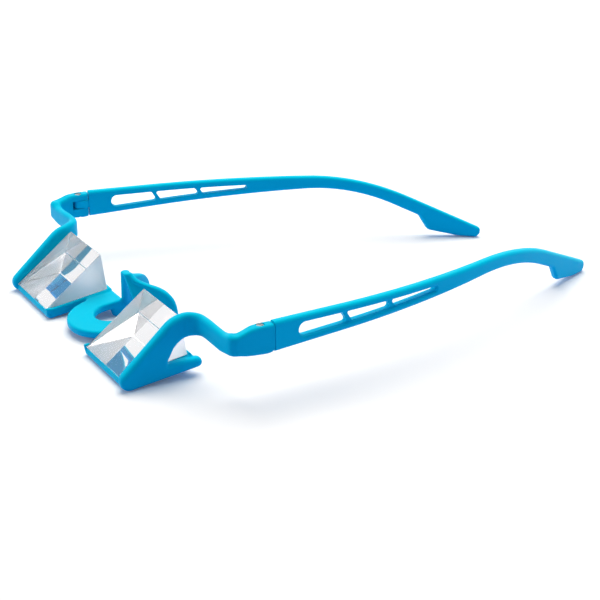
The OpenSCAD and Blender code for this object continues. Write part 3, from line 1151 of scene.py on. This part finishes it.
@dataclass(frozen=True)
class FrontMoulding:
    """The moulded front: its parts run into each other, softened where they meet."""

    voxel: float = 0.32
    softening: float = 0.5
    rounds: int = 6

    def build(self) -> bpy.types.Object:
        """Builds the front as one moulding.

        Returns:
            The finished piece.
        """
        whole = Form()
        for part in (Cheek(), Tray(), Arm(), NosePad()):
            whole.absorb(part.form().mirrored())
        whole.absorb(Bridge().form())
        body = whole.object("front_moulding")
        melt = body.modifiers.new("melt", "REMESH")
        melt.mode = "VOXEL"
        melt.voxel_size = self.voxel
        soften = body.modifiers.new("soften", "SMOOTH")
        soften.factor = self.softening
        soften.iterations = self.rounds
        fixed(body)
        for side in Side:
            for cut in (Tray().pocket(side), *Lug().cuts(side)):
                worked(body, cut, Join.CUT)
        return finished(body, [FRONT_BLUE.material()], "front", "front_frame")


@dataclass(frozen=True)
class Temple:
    """One temple: a bowed side bar with three windows, a hinge tongue and a paddle behind the ear.

    A window is the y of its front ends and of its rear ends, at its upper and its lower edge, and
    the radii of its front and rear corners. The paddle's places count forwards from its rear end,
    where its corners are rounder than its edges by the blunting.
    """

    outer: float = 72.55
    thick: float = 3.4
    edge: float = 1.25
    root_y: float = 38.46
    root_z: float = 14.4
    root_bevel: float = 0.2
    root_more: float = 6.0
    top: float = 24.2
    rear: float = 186.8
    ear_y: float = 142.7
    ear_r: float = 90.0
    under_r: float = 70.2
    drop: float = radians(24.8)
    climb: float = radians(3.3)
    tail: float = 5.2
    neck: float = 22.7
    neck_r: float = 2.0
    paddle: tuple[Corner, ...] = ((19.3, 2.7, 2.2), (8.0, 0.4, 20.0))
    toe: Point = (1.4, 1.6)
    blunting: float = 0.05
    bow_y: float = 62.0
    bow_r: float = 250.0
    bow: float = radians(20.6)
    bow_steps: int = 36
    head: float = 2.5
    sill: float = 2.25
    rim: float = 0.35
    recess: float = 1.1
    recess_rim: float = 0.75
    recess_more: float = 0.15
    windows: tuple[tuple[Point, Point, Point], ...] = (
        ((46.6, 47.3), (62.5, 64.6), (2.1, 0.8)), ((64.0, 66.1), (79.2, 81.3), (0.6, 0.8)),
        ((80.7, 82.7), (98.9, 101.0), (0.7, 0.8)))
    tongue_neck: float = 2.9
    tongue_root: Point = (0.3, 1.2)
    tongue_heel: float = 0.1
    tongue_edge: float = 0.18
    fold: float = 13.4

    def low_edge(self, y: float) -> float:
        """Height of the straight lower edge at y."""
        return self.root_z + (y - self.root_y) * tan(self.climb)

    def sill_top(self, y: float) -> float:
        """Height of the windows' lower edge at y."""
        return self.low_edge(y) + self.sill / cos(self.climb)

    def tail_top(self, y: float) -> float:
        """Height of the tail's upper edge at y."""
        return self.top - (y - self.ear_y) * tan(self.drop)

    def tail_low(self, y: float) -> float:
        """Height of the tail's lower edge at y."""
        return self.tail_top(y) - self.tail / cos(self.drop)

    def side_outline(self) -> list[Point]:
        """The temple from the side, drawn past its root, which is cut off later.

        Returns:
            The (y, z) outline, anticlockwise.
        """
        fall, climb = tan(self.drop), tan(self.climb)
        drop = self.top - self.tail / cos(self.drop) - self.root_z
        turn = (drop + self.ear_y * fall + self.root_y * climb) / (fall + climb)
        start, neck = self.root_y - self.root_more, self.rear - self.neck
        blunt = self.edge + self.blunting
        return rounded([
            (start, self.low_edge(start), 0),
            (turn, self.low_edge(turn), self.under_r),
            (neck, self.tail_low(neck), self.neck_r),
            *((self.rear - y, z, r) for y, z, r in self.paddle),
            (self.rear - self.toe[0], 0.0, blunt),
            (self.rear, self.toe[1], blunt),
            (self.rear, self.tail_top(self.rear), blunt),
            (self.ear_y, self.top, self.ear_r),
            (start, self.top, 0),
        ], 14)

    def opening(self, front: Point, rear: Point, radii: Point, widening: float, rim: float,
                depth: float) -> Form:
        """A cut between the rails, with a round rim at each face that it reaches.

        Args:
            front: Front ends of its upper and lower edges.
            rear: Rear ends of its upper and lower edges.
            radii: Radius of its front corners and of its rear ones.
            widening: How far it reaches into the rails.
            rim: Radius of its rims.
            depth: How far in from the outer face it goes.

        Returns:
            The tool.
        """
        top = self.top - self.head
        corners = [(front[1], self.sill_top(front[1]), radii[0]),
                   (rear[1], self.sill_top(rear[1]), radii[1]), (rear[0], top, radii[1]),
                   (front[0], top, radii[0])]
        half = self.thick / 2
        middle = self.outer - half
        face = [(half - rim * (1 - sin(a)), rim * (1 - cos(a))) for a in (pi / 8 * k for k in range(5))]
        face.append((half + PAST, rim))
        through = depth > self.thick
        inside = [(-x, g) for x, g in reversed(face)] if through else [(half - depth, 0.0)]
        rings = []
        for offset, growth in inside + face:
            outline = rounded(grown(corners, growth + widening), 5)
            rings.append([(middle + offset, y, z) for y, z in outline])
        return Form().loft(rings)

    def tongue(self) -> Form:
        """The tongue that the screw goes through.

        Returns:
            The left one.
        """
        h = HINGE
        r = h.tongue_width / 2
        inside = self.outer - self.thick + self.tongue_root[0]
        sunk = self.root_y + self.tongue_root[1]
        outline = arc((h.x, h.y), r, 180, 360, 14) + [
            (h.x + r, sunk), (inside, sunk), (inside, self.root_y - self.tongue_heel),
            (h.x - r, h.y + self.tongue_neck),
        ]
        low = h.middle - h.tongue_height / 2
        return Form().plate(outline, low, low + h.tongue_height, self.tongue_edge, steps=3)

    def bowed(self, body: bpy.types.Object) -> None:
        """Bows the flat bar inwards behind the windows.

        Args:
            body: The flat bar, whose mesh is moved.
        """
        bm = bmesh.new()
        bm.from_mesh(body.data)
        end = self.bow_y + self.bow_r * sin(self.bow)
        for k in range(self.bow_steps + 1):
            y = self.bow_y + (end - self.bow_y) * k / self.bow_steps
            bmesh.ops.bisect_plane(bm, geom=all_of(bm), dist=NEAR, plane_co=(0, y, 0),
                                   plane_no=(0, 1, 0))
        middle = self.outer - self.thick / 2
        for vert in bm.verts:
            y, n = vert.co.y, vert.co.x - middle
            a = asin(max(0.0, min(1.0, (min(y, end) - self.bow_y) / self.bow_r)))
            sweep = self.bow_r * (cos(a) - 1) - max(0.0, y - end) * tan(self.bow)
            # The tongue, in front of this, stays as it is
            if y > self.root_y + 0.5:
                vert.co.x = middle + sweep + n / cos(a)
        bm.to_mesh(body.data)
        bm.free()

    def bar(self) -> Form:
        """The flat bar, cut off square at its root.

        Returns:
            The left one.
        """
        form = Form().plate(self.side_outline(), self.outer - self.thick, self.outer, self.edge,
                            UPRIGHT, 6)
        cut = bmesh.ops.bisect_plane(
            form.bm, geom=all_of(form.bm), dist=NEAR, plane_co=(0, self.root_y, 0),
            plane_no=(0, -1, 0), clear_outer=True)["geom_cut"]
        rim = [e for e in cut if isinstance(e, bmesh.types.BMEdge)]
        bmesh.ops.edgeloop_fill(form.bm, edges=rim)
        form.bevel(rim, self.root_bevel, 2)
        form.settle()
        return form

    def build(self, side: Side) -> bpy.types.Object:
        """Builds one temple.

        Args:
            side: The wearer's side. The right one is turned in about its own screw.

        Returns:
            The finished piece.
        """
        body = self.bar().object(f"temple_bar_{side.word}")
        for front, rear, radii in self.windows:
            worked(body, self.opening(front, rear, radii, 0.0, self.rim, self.thick + PAST), Join.CUT)
        first, last = self.windows[0], self.windows[-1]
        ends = (first[2][0], last[2][1])
        recess = self.opening(first[0], last[1], ends, self.recess_more, self.recess_rim, self.recess)
        worked(body, recess, Join.CUT)
        worked(body, self.tongue(), Join.ADD)
        worked(body, HINGE.drill(HINGE.bore), Join.CUT)
        self.bowed(body)
        if side is Side.RIGHT:
            pivot = Vector((-HINGE.x, HINGE.y, 0))
            turn = Matrix.Translation(pivot) @ Matrix.Rotation(-radians(self.fold), 4, "Z")
            body.data.transform(turn @ Matrix.Translation(-pivot) @ Matrix.Scale(-1, 4, (1, 0, 0)))
            body.data.flip_normals()
        # The temples' blue is lighter than the front's as painted light, not as a plastic of its own
        return finished(body, [TEMPLE_PAINTED_LIGHT_BLUE.material()], f"{side.word}_temple",
                        f"temple_{side.word}", weighted=True)


@dataclass(frozen=True)
class HingeScrew:
    """A slotted screw. Its dome is drawn inwards from the head's rim and down from its top."""

    shank: float = 1.4
    tip_bevel: float = 0.15
    height: float = 0.8
    seat_bevel: float = 0.05
    dome: Outline = ((0.0, 0.3), (0.05, 0.2), (0.16, 0.12), (0.5, 0.03), (0.9375, 0.0))
    slot_width: float = 0.42
    slot_depth: float = 0.38
    slot_turn: float = 28.0

    def build(self, side: Side) -> bpy.types.Object:
        """Builds the screw on one side.

        Args:
            side: The wearer's side.

        Returns:
            The finished piece.
        """
        h = HINGE
        r, base, top = h.head_width / 2, h.head_base, h.head_base + self.height
        pin, end, bevel, step = self.shank / 2, h.nut_base, self.tip_bevel, self.seat_bevel
        profile = [(0, end), (pin - bevel, end), (pin, end + bevel), (pin, base), (r - step, base),
                   (r, base + step), *((r - x, top - z) for x, z in self.dome), (0, top)]
        body = h.turned(profile).flipped(side).object(f"screw_{side.word}")
        half, far = self.slot_width / 2, h.head_width
        slot = [(-far, -half), (far, -half), (far, half), (-far, half)]
        turn = Matrix.Rotation(radians(self.slot_turn), 4, "Z")
        place = Matrix.Translation((side.value * h.x, h.y, 0)) @ turn
        worked(body, Form().plate(slot, top - self.slot_depth, top + PAST, place=place), Join.CUT)
        return finished(body, [SCREW_STEEL.material()], "front",
                        f"hinge_screw_{side.word}", sharp=35.0)


@dataclass(frozen=True)
class HingeNut:
    """A hexagon nut with chamfered corners and a countersunk bore, caught in the lug."""

    chamfer: float = 0.14
    sink: float = 0.2
    beyond: float = 0.1

    def build(self, side: Side) -> bpy.types.Object:
        """Builds the nut on one side.

        Args:
            side: The wearer's side.

        Returns:
            The finished piece.
        """
        h = HINGE
        low, high, r = h.nut_base, h.nut_base + h.nut_height, h.thread / 2
        form = Form().plate(h.hexagon(), low, high, self.chamfer, steps=2)
        body = form.flipped(side).object(f"nut_{side.word}")
        mouth = r + self.sink + self.beyond
        bore = [(0, low - PAST), (mouth, low - self.beyond), (r, low + self.sink), (r, high - self.sink),
                (mouth, high + self.beyond), (0, high + PAST)]
        worked(body, h.turned(bore).flipped(side), Join.CUT)
        return finished(body, [NUT_STEEL.material()], "front", f"hinge_nut_{side.word}",
                        sharp=30.0)


@dataclass(frozen=True)
class Lamp:
    """A round softbox that faces the object. Its place and size are in metres."""

    name: str
    place: Place
    size: float
    power: float
    colour: Colour

    def hang(self) -> None:
        """Hangs the lamp, whose own shape doesn't show in the steel or on the plastic."""
        data = bpy.data.lights.new(self.name, "AREA")
        data.shape, data.size, data.energy, data.color = "DISK", self.size, self.power, self.colour
        lamp = bpy.data.objects.new(self.name, data)
        lamp.visible_glossy = False
        aim = Vector(self.place).to_track_quat("Z", "Y").to_matrix().to_4x4()
        lamp.matrix_world = Matrix.Translation(self.place) @ aim
        bpy.context.scene.collection.objects.link(lamp)


@dataclass(frozen=True)
class Studio:
    """A pale floor, soft light from above and the camera at the photograph's angle, in metres."""

    lens: float = 83.06
    sensor: float = 36.0
    nearest: float = 0.01
    azimuth: float = radians(59.253)
    elevation: float = radians(22.999)
    eye: Place = (0.39752, -0.23920, 0.19002)
    floor_half: float = 1.1
    floor_roughness: float = 0.7
    bounce: Colour = (0.40, 0.44, 0.82)
    lift: float = 0.05
    sky: Colour = (0.62, 0.78, 1.0)
    sky_strength: float = 0.26
    lamps: tuple[Lamp, ...] = (
        Lamp("overhead", (-0.32, 0.24, 0.92), 1.15, 13.5, (1.0, 0.93, 0.84)),
        Lamp("front", (-0.70, -0.90, 0.14), 0.9, 6.6, WHITE),
        Lamp("rear", (0.30, 0.90, 0.14), 0.6, 1.3, (0.9, 0.96, 1.0)),
        Lamp("side", (0.80, 0.50, 0.12), 0.5, 0.8, (0.60, 0.78, 1.0)),
    )

    def camera(self) -> None:
        """Sets up the camera."""
        a, e = self.azimuth, self.elevation
        back = Vector((sin(a) * cos(e), -cos(a) * cos(e), sin(e)))
        right = Vector((cos(a), sin(a), 0))
        up = back.cross(right)
        data = bpy.data.cameras.new("camera")
        data.lens, data.sensor_width, data.clip_start = self.lens, self.sensor, self.nearest
        eye = bpy.data.objects.new("camera", data)
        turn = Matrix((right, up, back)).transposed().to_4x4()
        eye.matrix_world = Matrix.Translation(self.eye) @ turn
        bpy.context.scene.collection.objects.link(eye)
        bpy.context.scene.camera = eye

    def floor(self) -> None:
        """Lays the floor, which shows white where no shadow falls on it."""
        form = Form()
        bmesh.ops.create_grid(form.bm, x_segments=2, y_segments=2, size=self.floor_half)
        plane = form.object("floor")
        nodes = Nodes("floor")
        camera = nodes.add("LightPath").outputs["Is Camera Ray"]
        plane.data.materials.append(nodes.dress(
            Base_Color=nodes.blend(nodes.seen_rays(), self.bounce, WHITE),
            Roughness=self.floor_roughness, Specular_IOR_Level=0.0,
            Emission_Color=nodes.blend(camera, BLACK, WHITE), Emission_Strength=self.lift))

    def light(self) -> None:
        """Hangs the lamps and sets the surroundings, which the camera, metal and glass see as white."""
        for lamp in self.lamps:
            lamp.hang()
        world = bpy.data.worlds.new("surroundings")
        bpy.context.scene.world = world
        world.use_nodes = True
        tree = Tree(world.node_tree)
        soft = tree.add("Background", Color=self.sky, Strength=self.sky_strength).outputs[0]
        white = tree.add("Background", Color=WHITE, Strength=1.0).outputs[0]
        mix = tree.add("MixShader")
        for socket, value in zip(mix.inputs, (tree.seen_rays(), soft, white)):
            tree.put(socket, value)
        tree.add("OutputWorld", Surface=mix.outputs[0])

    def build(self) -> None:
        """Sets up everything around the object."""
        self.camera()
        self.floor()
        self.light()
        bpy.context.scene.view_settings.view_transform = "Standard"


def dress_layers() -> None:
    """Gives the mirror and its bed, which keep the frame's own shapes, their finishes."""
    for name, finish in (("prism_mirror", SILVER), ("prism_adhesive", ADHESIVE)):
        material = finish.material()
        for side in Side:
            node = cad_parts[f"{name}_{side.word}"]
            node.data.materials.clear()
            node.data.materials.append(material)


def main() -> None:
    """Builds the glasses and the studio."""
    logging.basicConfig(level=logging.INFO, format="%(name)s: %(message)s")
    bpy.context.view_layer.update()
    Studio().build()
    FrontMoulding().build()
    for side in Side:
        PrismGlass().build(side)
        HingeScrew().build(side)
        HingeNut().build(side)
        Temple().build(side)
    dress_layers()


if __name__ == "__main__":
    main()
